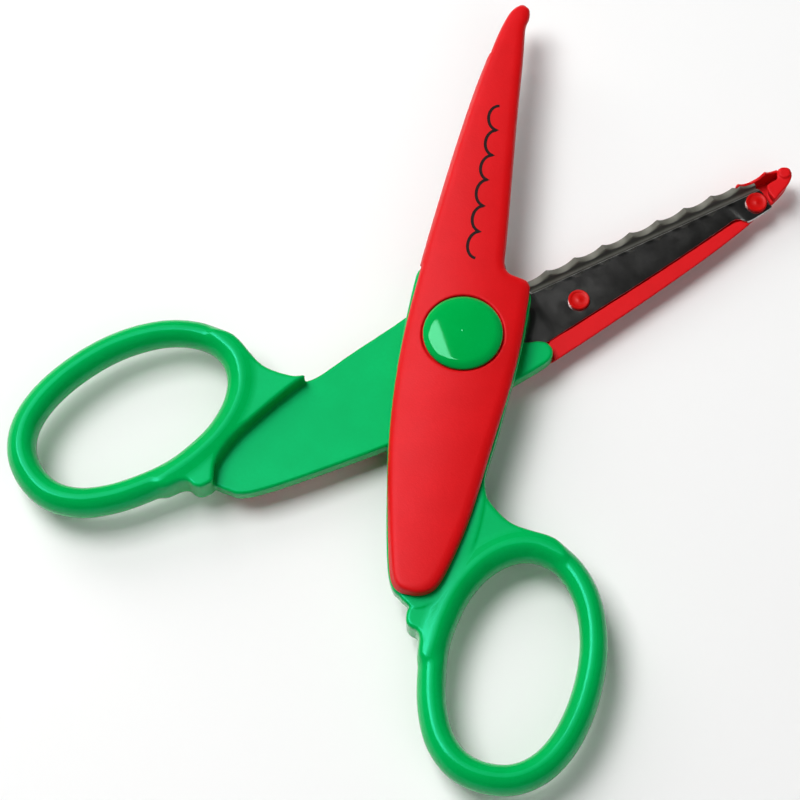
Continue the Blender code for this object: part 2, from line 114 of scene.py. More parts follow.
# Across the flange, as widths from the cutting edge: the land, its foot, and the fold into the plate.
LAND_WIDTH = 0.9
LAND_BREAK = 0.05
LAND_END = ((-0.08, 0.0), (0.0, 0.04))
LAND_STEP = (1.06, 0.45)
FOOT_WIDTH = 1.15
FOOT_Z = 0.95
FOLD_Z = 1.93
FOLD = ((1.25, 0.45), (1.36, 0.75), (1.5, 0.93))
FOLD_END = ((1.7, 1.95), (2.2, 1.98), (2.2, 2.62), (1.4, 2.55), (1.0, 2.35))
FLANGE_BACK = ((0.75, 1.95, 0.75), (0.55, 1.6, 0.72))
LAND_BACK = ((0.2, 0.68), (0.0, 0.6))

# Cover: its crowned shell, the rim along the spine, and the guard at the tip.
COVER_Z = (3.0, 5.0)
COVER_SHOULDER = 1.7
COVER_DROP = 0.75
COVER_TOP_ROUNDING = 0.35
COVER_FLOOR_ROUNDING = 0.3
COVER_DRAFT = 0.38
DRAFT_ON_AXIS = 0.4
DRAFT_SPREAD = 5
DRAFT_SHARES = (0.2, 1.0)
TIP_TAPER = 1.1
TIP_TAPER_Y = (32.0, 62.0)
TIP_TAPER_MOST = 1.1
CROWN_R = 40.0
CROWN_SHIFT = -2.8
CROWN_SHIFT_Y = (-5.0, 30.0)
RIM_TOP_Z = 2.12
RIM_GROWTH = 0.6
RIM_CLEARANCE = 0.02
RIM_EDGE_ROUNDING = 0.02
RIM_WALL_ROUNDING = 0.1
RIM_OVERLAP = 0.8
RIM_ROUNDING = 0.12
RIM_FILLET = 0.4
TIP_BLOCK_TOP_Z = 0.4
TIP_BLOCK_DRAFT = 0.2
TIP_BLOCK_OVERLAP = 0.5
TIP_BLOCK_ROUNDING = 0.25
NUB_TOP_Z = 0.12
NUB_RADIUS = 0.95
NUB_AT = (-1.65, 61.4)
NUB_ROUNDING = 0.12
NUB_FILLET = 0.1
LIP_R = (53.1, 61.0)
LIP_WIDTH = 0.6
LIP_INSET_SHARE = 0.1
LIP_OVERLAP = 0.3
LIP_ROUNDING = 0.15
LIP_FILLET = 0.15
REAR_TAIL_INSET = 0.8
REAR_TAIL_Y = (7.0, -3.0)
EYE_R = 3.5
EYE_ROUNDING = 0.15
RECESS_R = 6.6
RECESS_Z = 4.2
RECESS_ROUNDING = 0.3
SOCKET_R = 1.4
SOCKET_Z = 3.7
SOCKET_ROUNDING = 0.1

# Rivets: where they are, and (radius, depth) down the dished head from its rim.
RIVETS = {"root": (-2.5, 20.6), "tip": (-3.2, 54.9)}
RIVET_END_Z = 3.5
RIVET_SHANK_R = 1.1
RIVET_END_ROUNDING = 0.15
RIVET_HEAD_R = 1.74
RIVET_TOP_Z = 1.3
RIVET_RIM_DROP = 0.14
RIVET_BASE_Z = 1.86
RIVET_BASE_BREAK = 0.08
RIVET_DISH = (
    (1.66, 0.05), (1.6, 0.0), (1.42, 0.0), (1.33, 0.03), (1.26, 0.09), (1.18, 0.11), (0.35, 0.11),
    (0.28, 0.08), (0.0, 0.08),
)
RIVET_SIDES = 64

# Buttons: a domed cap on a hub. The rear one has a flat land, and the front one a small gate mark.
BUTTON_R = 6.35
BUTTON_RIM_Z = 5.45
BUTTON_TOP_Z = 6.0
BUTTON_EDGE = 0.14
BUTTON_EDGE_ROUNDING = 0.12
BUTTON_UNDER_Z = 4.5
BUTTON_UNDER_BREAK = (0.08, 0.05)
HUB_R = 3.1
HUB_Z = 4.2
GATE_R = 0.2
GATE_TOP_SHARE = 0.6
GATE_RISE = 0.03
DOME_SHOULDER_R = 5.0
DOME_SHOULDER_DROP = 0.5
DOME_SHOULDER_POWER = 2.2
DOME_STATIONS = 31
REAR_LAND_R = 2.6
TURN_SIDES = 96
TOOL_SIDES = 48
SOCKET_TOOL_Z = (1.0, 4.0)
BORE_TOOL_Z = (-1.0, 10.0)

ARM_OUTLINE = [
    (-9.6, 8.8), (-9.2, 10.9), (-8.1, 11.9), (-6.7, 11.8), (-5.6, 10.7), (-4.5, 8.7), (-2.0, 7.6),
    (2.5, 7.6), (6.3, 8.6), (8.2, 10.2), (9.2, 9.7), (9.45, 8.0), (9.6, 2.0), (9.4, -4.0), (9.05, -8.0),
    (8.55, -15.5), (8.15, -19.5), (7.95, -23.0), (8.7, -27.0), (8.6, -33.0), (7.4, -39.0), (4.8, -44.0),
    (1.6, -46.2), (-0.4, -45.35), (-1.4, -44.6), (-2.6, -43.7), (-3.55, -42.0), (-4.35, -39.5),
    (-5.5, -34.5), (-6.85, -27.5), (-8.1, -20.5), (-9.05, -13.0), (-9.5, -6.0), (-9.65, 1.0),
]
ROOT_OUTLINE = [
    (8.1, -24.6), (9.1, -26.2), (11.2, -28.1), (13.4, -29.4), (16.5, -30.1), (20.5, -30.9), (22.3, -33.4),
    (17.5, -32.4), (13.0, -33.8), (9.8, -36.8), (7.3, -41.2), (5.9, -46.3), (5.4, -51.0), (4.7, -53.4),
    (3.5, -53.0), (3.05, -50.6), (2.3, -49.5), (1.2, -49.1), (0.45, -48.4), (0.2, -47.3), (0.3, -46.2),
    (1.0, -45.6), (2.7, -44.3), (4.2, -42.1), (5.4, -39.0), (6.25, -35.0), (7.05, -31.0), (7.65, -27.4),
]
LOOP_CENTRE_LINE = [
    (29.6, -50.5), (29.1, -45.2), (27.6, -40.2), (25.4, -36.5), (22.7, -33.9), (19.8, -32.6), (16.5, -32.4),
    (13.0, -33.8), (9.8, -36.8), (7.3, -41.2), (5.9, -46.3), (5.4, -51.0), (5.9, -56.3), (7.1, -61.3),
    (9.2, -65.6), (12.6, -68.7), (16.9, -69.8), (21.3, -69.1), (25.0, -66.4), (27.6, -62.0), (29.1, -56.5),
]
PLATE_OUTLINE = [
    (-6.0, 12.0), (-5.75, 17.0), (-5.5, 22.5), (-5.05, 32.5), (-4.5, 41.5), (-4.0, 48.0), (-3.8, 50.0),
    (-4.2, 50.9), (-5.0, 51.5), (-5.3, 52.4), (-5.3, 54.5), (-5.15, 56.5), (-4.6, 56.8), (-2.0, 56.9),
    (-1.1, 56.6), (-0.6, 55.7), (-0.45, 53.5), (-0.6, 50.5), (-0.3, 46.0), (0.5, 38.0), (1.3, 30.0),
    (2.05, 22.0), (2.75, 15.5), (4.2, 14.3), (5.2, 11.0), (6.0, 5.0), (6.2, 0.0), (5.0, -5.5), (2.6, -9.0),
    (0.0, -10.2), (-2.6, -9.0), (-5.0, -5.5), (-6.2, 0.0), (-6.3, 6.0),
]
COVER_OUTLINE = [
    (-1.3, 62.05), (-0.5, 61.7), (-0.15, 60.85), (-0.1, 59.4), (-0.35, 57.8), (0.0, 54.5), (0.5, 50.0),
    (1.05, 44.0), (1.65, 38.0), (2.25, 32.5), (2.85, 27.0), (3.45, 21.5), (3.9, 17.0), (4.1, 14.6),
    (4.5, 13.1), (5.4, 12.25), (6.8, 12.0), (8.1, 11.75), (8.9, 11.0), (9.15, 9.6), (9.35, 4.0),
    (9.4, -1.0), (9.1, -7.0), (8.5, -13.5), (7.9, -20.0), (7.3, -27.0), (6.6, -32.5), (5.6, -37.5),
    (4.5, -41.5), (3.4, -43.3), (1.6, -44.25), (-0.7, -44.4), (-2.2, -43.9), (-3.35, -42.3), (-4.3, -39.0),
    (-5.55, -33.5), (-6.9, -27.0), (-8.1, -20.0), (-8.95, -12.5), (-9.4, -5.0), (-9.45, 1.0), (-9.15, 9.0),
    (-8.8, 16.0), (-8.35, 23.0), (-7.8, 30.5), (-7.1, 38.5), (-6.35, 45.5), (-5.55, 51.0), (-4.85, 55.5),
    (-4.15, 58.6), (-3.45, 60.6), (-2.5, 61.8),
]
RIM_OUTLINE = [
    (-9.98, 12.6), (-9.8, 16.5), (-9.38, 23.0), (-8.83, 30.5), (-8.13, 38.5), (-7.38, 45.5), (-6.75, 50.0),
    (-6.3, 51.3), (-5.15, 51.0), (-4.85, 50.4), (-4.7, 49.6), (-4.85, 47.0), (-5.25, 41.5), (-5.8, 32.5),
    (-6.25, 22.5), (-6.5, 17.0), (-6.75, 12.6),
]
TIP_BLOCK_OUTLINE = [
    (-4.8, 57.4), (-4.35, 58.8), (-3.6, 61.0), (-2.5, 62.35), (-1.3, 62.65), (-0.6, 62.0), (-0.4, 61.1),
    (-1.0, 60.3), (-1.8, 59.7), (-1.75, 58.5), (-2.1, 57.6), (-3.2, 57.25),
]
# The printed line on the front cover: cusps between arcs that bulge towards the spine.
PRINT_CUSPS = [
    (-1.8, 41.5), (-1.3, 36.9), (-1.1, 32.2), (-1.1, 27.6), (-0.8, 22.8), (-0.6, 18.1), (-0.5, 13.3),
]
PRINT_BULGE = 1.65
PRINT_WIDTH = 0.5
PRINT_RAISE = 0.02
PRINT_DEPTH = 0.1
PRINT_STATIONS = 17
SIDES = {"front": 1.0, "rear": -1.0}

# Plastics: pigments, roughness at its least and most, the grain's scale and height in metres, and the
# tint of the gloss. A flat face is rougher by flat_rough.
PLASTICS = {
    "green": {
        "base": (0.0, 0.42, 0.085), "deep": (0.0, 0.37, 0.07),
        "pale": (0.0, 0.46, 0.11), "rough": (0.14, 0.22), "grain": (700.0, 0.000008),
        "tint": (0.08, 1.0, 0.8), "flat_rough": 0.26,
    },
    "red": {
        "base": (0.66, 0.0035, 0.005), "deep": (0.60, 0.003, 0.004),
        "pale": (0.70, 0.009, 0.012), "rough": (0.42, 0.55), "grain": (4200.0, 0.00003),
        "tint": (1.0, 0.32, 0.38),
    },
    "rivet": {
        "base": (0.56, 0.003, 0.002), "deep": (0.50, 0.002, 0.002),
        "pale": (0.60, 0.006, 0.006), "rough": (0.30, 0.42), "grain": (2400.0, 0.00001),
        "tint": (1.0, 0.4, 0.4),
    },
    "button": {
        "base": (0.0, 0.38, 0.065), "deep": (0.0, 0.35, 0.055),
        "pale": (0.0, 0.41, 0.08), "rough": (0.05, 0.09), "grain": (420.0, 0.000004),
        "tint": (0.3, 1.0, 0.7),
    },
}
FLAT_FACE = (0.97, 0.995)
FLOW_STRETCH = (1.0, 0.35, 1.0)

# Steel: widths and radii, colours, and how strongly each mark shows. Then the ink.
SATIN_WIDTH = (1.72, 1.86)
SATIN_FROM_R = (14.8, 15.2)
SATIN_METAL_LOSS = 0.75
PLATE_TONES = ((0.55, 0.55, 0.53), (0.68, 0.68, 0.66))
BAND_TONES = ((0.13, 0.13, 0.105), (0.20, 0.195, 0.165))
GRAIN_TONE = (0.30, 0.30, 0.29)
LINE_TONE = (0.62, 0.62, 0.60)
LINE_STRETCH = (5200.0, 160.0, 900.0)
SCRATCH_TONE = (0.8, 0.8, 0.78)
SCRATCH_STRETCH = (5200.0, 300.0, 900.0)
SCRATCH_TURN = 0.9
# Painted shade on the plate beside the fold: width and reach from the edge, radii where it starts, wave,
# tone and strength.
FOLD_SHADE_WIDTH = (2.0, 0.55)
FOLD_SHADE_FROM_R = (17.5, 18.5)
FOLD_SHADE_WAVE = (-0.35, -0.95)
FOLD_SHADE_TONE = (0.12, 0.12, 0.12)
FOLD_SHADE_STRENGTH = 0.8
STRIPE_CORE = 0.3
# Painted shade, highlight and shade along the fold, each as (width from the edge, reach, grey).
FOLD_LIGHT_AND_SHADE = ((1.12, 0.16, 0.07), (1.4, 0.14, 0.26), (1.66, 0.12, 0.06))
STEEL_ROUGHNESS = (0.12, 1.12)
STEEL_BUMP = (0.000003, 0.4)

INK_TONES = ((0.006, 0.003, 0.003), (0.02, 0.006, 0.006))

# Studio, in metres: softboxes as name, direction from the pivot, distance, size, power, the direction of
# the first side, and whether it is mirrored in glossy surfaces.
LIGHTS = [
    ("key", (-0.417, -0.061, 0.870), 0.9, (0.5, 0.5), 7.5, (0.698, -0.608, 0.378), True),
    ("side", (-0.85, 0.25, 0.48), 1.0, (0.9, 0.45), 5.0),
    ("fill", (0.62, -0.25, 0.74), 1.2, (0.9, 1.1), 3.0),
]
FLOOR_REACH = 3.0
FLOOR_Z = -0.0002
FLOOR_TONES = ((0.86, 0.86, 0.855), (0.88, 0.88, 0.875))
FLOOR_ROUGHNESS = 0.9
# Brightness of the surroundings by height (dark ceiling, so that flat steel is dark) and by side.
SKY_BY_HEIGHT = (0.62, 0.82, 1.4, 0.17)
SKY_BRIGHT_SIDE = (-0.70, 0.70, 0.0)
SKY_BY_SIDE = (-0.8, 0.8, 0.62, 0.95)


# ---- outlines


def smooth_loop(points, steps=FIELD_LOOP_STEPS):
    """The closed Catmull-Rom loop through the control points, as an array."""
    points = np.array(points, float)
    before, after, beyond = (np.roll(points, k, axis=0) for k in (1, -1, -2))
    loop = []
    for t in np.arange(steps) / steps:
        square = 2 * before - 5 * points + 4 * after - beyond
        cubic = 3 * points - before - 3 * after + beyond
        loop.append((2 * points + (after - before) * t + square * t**2 + cubic * t**3) / 2)
    return np.stack(loop, axis=1).reshape(-1, 2)


def inset_loop(loop, distance):
    """The loop moved inwards by a distance for each point."""
    ahead, behind = np.roll(loop, -1, axis=0), np.roll(loop, 1, axis=0)
    area = np.sum(behind[:, 0] * loop[:, 1] - behind[:, 1] * loop[:, 0])
    along = ahead - behind
    along /= np.linalg.norm(along, axis=1, keepdims=True)
    inward = math.copysign(1.0, area) * np.stack([-along[:, 1], along[:, 0]], axis=1)
    return loop + inward * np.reshape(distance, (-1, 1))


class Plan:
    """Distance in plan to a loop, looked up on a grid. Solid plans are negative inside the loop."""

    def __init__(self, loop, solid=True):
        self.low = loop.min(axis=0) - PLAN_MARGIN
        high = loop.max(axis=0) + PLAN_MARGIN
        xs = np.arange(self.low[0], high[0] + PLAN_STEP, PLAN_STEP)
        ys = np.arange(self.low[1], high[1] + PLAN_STEP, PLAN_STEP)
        x, y = np.meshgrid(xs, ys, indexing="ij")
        nearest = np.full(x.shape, np.inf)
        inside = np.zeros(x.shape, bool)
        for a, b in zip(loop, np.roll(loop, -1, axis=0)):
            span = b - a
            along = ((x - a[0]) * span[0] + (y - a[1]) * span[1]) / (span @ span)
            along = np.clip(along, 0.0, 1.0)
            gap = (x - a[0] - along * span[0]) ** 2 + (y - a[1] - along * span[1]) ** 2
            nearest = np.minimum(nearest, gap)
            if a[1] != b[1]:
                crosses = (y < a[1]) != (y < b[1])
                inside ^= crosses & (x < a[0] + (y - a[1]) * span[0] / span[1])
        self.grid = np.sqrt(nearest)
        if solid:
            self.grid = np.where(inside, -self.grid, self.grid)

    def __call__(self, x, y):
        u = (np.asarray(x, float) - self.low[0]) / PLAN_STEP
        v = (np.asarray(y, float) - self.low[1]) / PLAN_STEP
        cell_u = np.clip(u, 0, self.grid.shape[0] - 1.001)
        cell_v = np.clip(v, 0, self.grid.shape[1] - 1.001)
        i, j = cell_u.astype(int), cell_v.astype(int)
        s, t = cell_u - i, cell_v - j
        low = self.grid[i, j] * (1 - s) + self.grid[i + 1, j] * s
        high = self.grid[i, j + 1] * (1 - s) + self.grid[i + 1, j + 1] * s
        outside = np.hypot(u - cell_u, v - cell_v) * PLAN_STEP
        return low * (1 - t) + high * t + outside


# ---- fields


def union(a, b, fillet):
    """The nearer of two fields, blended over a fillet."""
    share = np.clip(0.5 + 0.5 * (b - a) / fillet, 0.0, 1.0)
    return b * (1 - share) + a * share - fillet * share * (1 - share)


def common(a, b, rounding):
    """Where both fields are solid, with the edge between them rounded."""
    return -union(-a, -b, rounding)


def cut(a, b, rounding):
    """The first field without the second, with the edge between them rounded."""
    return common(a, -b, rounding)


def plate(plan_distance, z, z_range, rounding):
    """A flat plate whose rims are quarter rounds."""
    middle, half = (z_range[0] + z_range[1]) / 2, (z_range[1] - z_range[0]) / 2
    across = plan_distance + rounding
    upright = np.abs(z - middle) - half + rounding
    outside = np.hypot(np.maximum(across, 0.0), np.maximum(upright, 0.0))
    return np.minimum(np.maximum(across, upright), 0.0) + outside - rounding


def disc(x, y, radius, at=(0.0, 0.0)):
    """The field of an endless upright cylinder."""
    return np.hypot(x - at[0], y - at[1]) - radius


def progress(value, ends, most=1.0):
    """0 before the first end, 1 at the second, and straight between them and up to most."""
    return np.clip((value - ends[0]) / (ends[1] - ends[0]), 0.0, most)


def crossings(values, step, low):
    """Surface-net vertices: (cell index grid, points), one point in every cell that the surface crosses."""
    cells = tuple(n - 1 for n in values.shape)
    total = np.zeros((*cells, 3))
    hits = np.zeros(cells)
    for axis in range(3):
        ahead = [slice(None)] * 3
        ahead[axis] = slice(1, None)
        behind = [slice(None)] * 3
        behind[axis] = slice(None, -1)
        first, second = values[tuple(behind)], values[tuple(ahead)]
        crossed = (first < 0) != (second < 0)
        share = np.where(crossed, first / np.where(crossed, first - second, 1.0), 0.0)
        others = [k for k in range(3) if k != axis]
        for offsets in product((0, 1), repeat=2):
            window = [slice(None)] * 3
            for other, offset in zip(others, offsets):
                window[other] = slice(offset, offset + cells[other])
            here = crossed[tuple(window)]
            hits += here
            total[..., axis] += np.where(here, share[tuple(window)], 0.0)
            for other, offset in zip(others, offsets):
                total[..., other] += here * offset
    mixed = hits > 0
    index = np.full(cells, -1)
    index[mixed] = np.arange(np.count_nonzero(mixed))
    corner = np.argwhere(mixed)
    points = np.array(low) + step * (corner + total[mixed] / hits[mixed][:, None])
    return index, points


def quads(values, index):
    """Surface-net faces: one for every grid edge that the surface crosses."""
    faces = []
    for axis in range(3):
        u, v = (axis + 1) % 3, (axis + 2) % 3
        inner = [slice(1, -1)] * 3
        inner[axis] = slice(None, -1)
        ahead = list(inner)
        ahead[axis] = slice(1, None)
        first, second = values[tuple(inner)] < 0, values[tuple(ahead)] < 0
        for starts, order in ((first & ~second, (0, 1, 2, 3)), (~first & second, (3, 2, 1, 0))):
            at = np.argwhere(starts)
            at[:, u] += 1
            at[:, v] += 1
            ring = []
            for du, dv in ((1, 1), (0, 1), (0, 0), (1, 0)):
                cell = at.copy()
                cell[:, u] -= du
                cell[:, v] -= dv
                ring.append(index[cell[:, 0], cell[:, 1], cell[:, 2]])
            faces.append(np.stack([ring[k] for k in order], axis=1))
    return np.concatenate(faces)


def settle(field, points, step, rounds=4):
    """Moves the points onto the surface along the field's gradient."""
    nudge = 0.2 * step
    for _ in range(rounds):
        x, y, z = points.T
        value = field(x, y, z)
        slope = np.stack(
            [
                field(x + nudge, y, z) - field(x - nudge, y, z),
                field(x, y + nudge, z) - field(x, y - nudge, z),
                field(x, y, z + nudge) - field(x, y, z - nudge),
            ],
            axis=1,
        ) / (2 * nudge)
        reach = value / np.maximum(np.sum(slope**2, axis=1), 0.25)
        reach = np.clip(reach, -step / 2, step / 2)
        points = points - reach[:, None] * slope
    return points


def solid_from(name, field, low, high, step):
    """The closed mesh of a field's zero surface, in metres."""
    xs, ys, zs = (np.arange(a, b + step, step) for a, b in zip(low, high))
    values = field(xs[:, None, None], ys[None, :, None], zs[None, None, :])
    values = np.broadcast_to(values, (len(xs), len(ys), len(zs)))
    index, points = crossings(values, step, low)
    points = settle(field, points, step)
    return mesh_from(name, points * MM, quads(values, index))


def show(obj):
    bpy.context.scene.collection.objects.link(obj)


def mesh_from(name, points, faces):
    """A mesh from arrays of points and of faces that have the same number of corners."""
    mesh = bpy.data.meshes.new(name)
    mesh.vertices.add(len(points))
    mesh.vertices.foreach_set("co", np.asarray(points, np.float32).ravel())
    mesh.loops.add(faces.size)
    mesh.loops.foreach_set("vertex_index", faces.astype(np.int32).ravel())
    mesh.polygons.add(len(faces))
    mesh.polygons.foreach_set("loop_start", np.arange(0, faces.size, faces.shape[1], dtype=np.int32))
    mesh.update(calc_edges=True)
    mesh.validate()
    return mesh


# ---- moulded


def handle_field(side):
    """The field of a handle: arm, root and loop, less the blade's pocket and the pivot's bore."""
    arm, root = Plan(smooth_loop(ARM_OUTLINE)), Plan(smooth_loop(ROOT_OUTLINE))
    centre_line = Plan(smooth_loop(LOOP_CENTRE_LINE), solid=False)
    pocket = Plan(inset_loop(plate_loop(side), -POCKET_CLEARANCE))
    top = max(y for _, y in LOOP_CENTRE_LINE)
    bottom = min(y for _, y in LOOP_CENTRE_LINE)

    def field(x, y, z):
        swell = 1 + LOOP_SWELL * progress(y, (top, bottom))
        width, height = LOOP_HALF_WIDTH * swell, LOOP_HALF_HEIGHT * swell
        across = centre_line(x, y) / width
        loop = (np.sqrt(across**2 + (z / height) ** 2) - 1) * width
        body = union(plate(root(x, y), z, ROOT_Z, ROOT_ROUNDING), loop, LOOP_FILLET)
        body = union(plate(arm(x, y), z, ARM_Z, ARM_ROUNDING), body, ROOT_FILLET)
        hollow = np.maximum(pocket(x, y), POCKET_FLOOR_Z - z)
        return cut(cut(body, hollow, POCKET_ROUNDING), disc(x, y, BORE_R), POCKET_ROUNDING)

    return field


def scallop(radius):
    """Height of the shear surface, a function of the radius from the pivot only."""
    chord = SCALLOP_PITCH / 2
    arc_r = (chord**2 + SCALLOP_DEPTH**2) / (2 * SCALLOP_DEPTH)
    from_middle = np.abs((radius - FIRST_CUSP_R) % SCALLOP_PITCH - chord)
    along = chord - np.hypot(chord - from_middle, CUSP_ROUNDING)
    return arc_r - np.sqrt(arc_r**2 - along**2) - SCALLOP_DEPTH / 2


def edge_x0(side):
    """Where the cutting edge's line meets the x axis: the front blade's edge is set back."""
    return EDGE_X0 - (FRONT_SETBACK if side > 0 else 0.0)


def from_edge(x, y, side):
    """Distance inwards from the cutting edge's straight line."""
    return (edge_x0(side) + EDGE_SLOPE * y - x) / math.hypot(1.0, EDGE_SLOPE)


def plate_loop(side, steps=FIELD_LOOP_STEPS):
    """The plate's outline. Its edge side follows the setback, which fades out beside the tip rivet.

    The front plate is tucked in at the spine side of its tip, where the cover is narrow.
    """
    loop = smooth_loop(PLATE_OUTLINE, steps)
    fade = progress(loop[:, 1], SETBACK_FADE_Y)
    on_edge_side = (loop[:, 0] > loop[:, 0].min() / 3) & (loop[:, 1] > PLATE_EDGE_FROM_Y)
    loop[:, 0] -= (EDGE_X0 - edge_x0(side)) * fade * on_edge_side
    if side > 0:
        at_tip = (loop[:, 0] < TIP_TUCK_FROM[0]) & (loop[:, 1] > TIP_TUCK_FROM[1])
        loop[:, 0] += TIP_TUCK * at_tip
    return loop


def cover_plan(side):
    """The cover's plan. The rear one is set in at its tail, where the photo shows no red."""
    loop = smooth_loop(COVER_OUTLINE)
    inset = REAR_TAIL_INSET * progress(loop[:, 1], REAR_TAIL_Y) * (side < 0)
    return Plan(inset_loop(loop, inset))


def cover_top(x, y, inside):
    """Height of the crowned top, which thins towards the tip, at a distance inside the outline."""
    share = np.clip(inside / COVER_SHOULDER, 0.0, 1.0)
    drop = COVER_DROP * (1 - np.sqrt(np.maximum(1 - (1 - share) ** 2, 0.0)))
    t = progress(y, CROWN_SHIFT_Y)
    middle = CROWN_SHIFT * t * t * (3 - 2 * t)
    taper = TIP_TAPER * progress(y, TIP_TAPER_Y, TIP_TAPER_MOST) ** 2
    return COVER_Z[1] - drop - taper - (x - middle) ** 2 / (2 * CROWN_R)


def drafted(x, z, outline):
    """The cover's side wall: it leans inwards as it rises, most of all on the spine side."""
    share = np.clip(DRAFT_ON_AXIS - x / DRAFT_SPREAD, *DRAFT_SHARES)
    wall = outline + COVER_DRAFT * share * (z - COVER_Z[0])
    return np.maximum(wall, outline - RIM_GROWTH)


def guard_lip(x, y, z, side):
    """The thin wall along the cutting edge at the tip. Its free edge follows the scallops."""
    radius = np.hypot(x, y)
    inside = from_edge(x, y, side)
    lip = np.maximum(LIP_INSET_SHARE * LIP_WIDTH - inside, inside - LIP_WIDTH)
    lip = np.maximum(lip, np.maximum(LIP_R[0] - radius, radius - LIP_R[1]))
    lip_top = side * scallop(radius) + 2 * EDGE_CLEARANCE
    upright = np.maximum(lip_top - z, z - COVER_Z[0] - LIP_OVERLAP)
    return common(lip, upright, LIP_ROUNDING)


def cover_field(plan, side):
    """The field of a cover: shell, rim, lip, tip block and nub, less the sockets, the eye and the recess."""
    rim = Plan(smooth_loop(RIM_OUTLINE))
    block = Plan(smooth_loop(TIP_BLOCK_OUTLINE))
    blade = Plan(plate_loop(side))
    floor_z = COVER_Z[0]

    def field(x, y, z):
        outline = plan(x, y)
        wall = drafted(x, z, outline)
        shell = common(wall, z - cover_top(x, y, -outline), COVER_TOP_ROUNDING)
        shell = common(shell, floor_z - z, COVER_FLOOR_ROUNDING)
        rim_plan = common(rim(x, y) - RIM_GROWTH, RIM_CLEARANCE - blade(x, y), RIM_EDGE_ROUNDING)
        rim_plan = common(rim_plan, wall, RIM_WALL_ROUNDING)
        rim_body = plate(rim_plan, z, (RIM_TOP_Z, floor_z + RIM_OVERLAP), RIM_ROUNDING)
        tip_plan = block(x, y) + TIP_BLOCK_DRAFT * (z - TIP_BLOCK_TOP_Z)
        tip = plate(tip_plan, z, (TIP_BLOCK_TOP_Z, floor_z + TIP_BLOCK_OVERLAP), TIP_BLOCK_ROUNDING)
        nub = plate(disc(x, y, NUB_RADIUS, NUB_AT), z, (NUB_TOP_Z, floor_z), NUB_ROUNDING)
        body = union(shell, rim_body, RIM_FILLET)
        body = union(body, guard_lip(x, y, z, side), LIP_FILLET)
        body = union(body, union(tip, nub, NUB_FILLET), LIP_FILLET)
        for at in RIVETS.values():
            body = cut(body, np.maximum(disc(x, y, SOCKET_R, at), z - SOCKET_Z), SOCKET_ROUNDING)
        body = cut(body, disc(x, y, EYE_R), EYE_ROUNDING)
        return cut(body, np.maximum(disc(x, y, RECESS_R), RECESS_Z - z), RECESS_ROUNDING)

    return field


# ---- sheet metal


def slab_mesh(name, loop, z_range, rounding):
    """A flat plate from a 2D curve, with small rounded rims, in metres."""
    curve = bpy.data.curves.new(name, "CURVE")
    curve.dimensions = "2D"
    curve.fill_mode = "BOTH"
    curve.extrude = (z_range[1] - z_range[0]) / 2 * MM - rounding * MM
    curve.bevel_depth = rounding * MM
    curve.bevel_resolution = 2
    curve.offset = -rounding * MM
    spline = curve.splines.new("POLY")
    spline.points.add(len(loop) - 1)
    for point, (x, y) in zip(spline.points, loop):
        point.co = (x * MM, y * MM, 0.0, 1.0)
    spline.use_cyclic_u = True
    holder = bpy.data.objects.new(name, curve)
    show(holder)
    raw = evaluated_mesh(holder)
    raw.transform(Matrix.Translation((0.0, 0.0, (z_range[0] + z_range[1]) / 2 * MM)))
    bpy.data.objects.remove(holder)
    return welded(raw)


def welded(mesh, triangles=False):
    """The mesh with its double points merged and its faces turned outwards, as triangles if asked."""
    bm = bmesh.new()
    bm.from_mesh(mesh)
    bmesh.ops.remove_doubles(bm, verts=bm.verts, dist=WELD)
    bmesh.ops.recalc_face_normals(bm, faces=bm.faces)
    if triangles:
        bmesh.ops.triangulate(bm, faces=bm.faces)
    bm.to_mesh(mesh)
    bm.free()
    return mesh


def listed(name, points, faces, triangles=False):
    """A welded mesh from lists of points and faces."""
    mesh = bpy.data.meshes.new(name)
    mesh.from_pydata(points, [], faces)
    return welded(mesh, triangles)


def evaluated_mesh(holder):
    """The mesh of an object as its curve settings or modifiers make it."""
    bpy.context.view_layer.update()
    graph = bpy.context.evaluated_depsgraph_get()
    return bpy.data.meshes.new_from_object(holder.evaluated_get(graph))


def shifted(mesh, at):
    mesh.transform(Matrix.Translation((at[0] * MM, at[1] * MM, 0.0)))
    return mesh


def boolean(target, tool_meshes, operation, solver):
    """The target mesh after Boolean modifiers with the tools."""
    holder = bpy.data.objects.new("holder", target)
    show(holder)
    tools = [bpy.data.objects.new("tool", mesh) for mesh in tool_meshes]
    for tool in tools:
        show(tool)
        modifier = holder.modifiers.new("cut", "BOOLEAN")
        modifier.operation = operation
        modifier.solver = solver
        modifier.object = tool
    made = evaluated_mesh(holder)
    for obj in [holder, *tools]:
        bpy.data.objects.remove(obj)
    return welded(made)


def on_arc(radius, width, side):
    """The point at this radius from the pivot, this far inside the cutting edge."""
    reach = edge_x0(side) - width
    a = 1 + EDGE_SLOPE**2
    b = 2 * reach * EDGE_SLOPE
    y = (-b + math.sqrt(b * b - 4 * a * (reach**2 - radius**2))) / (2 * a)
    return reach + EDGE_SLOPE * y, y


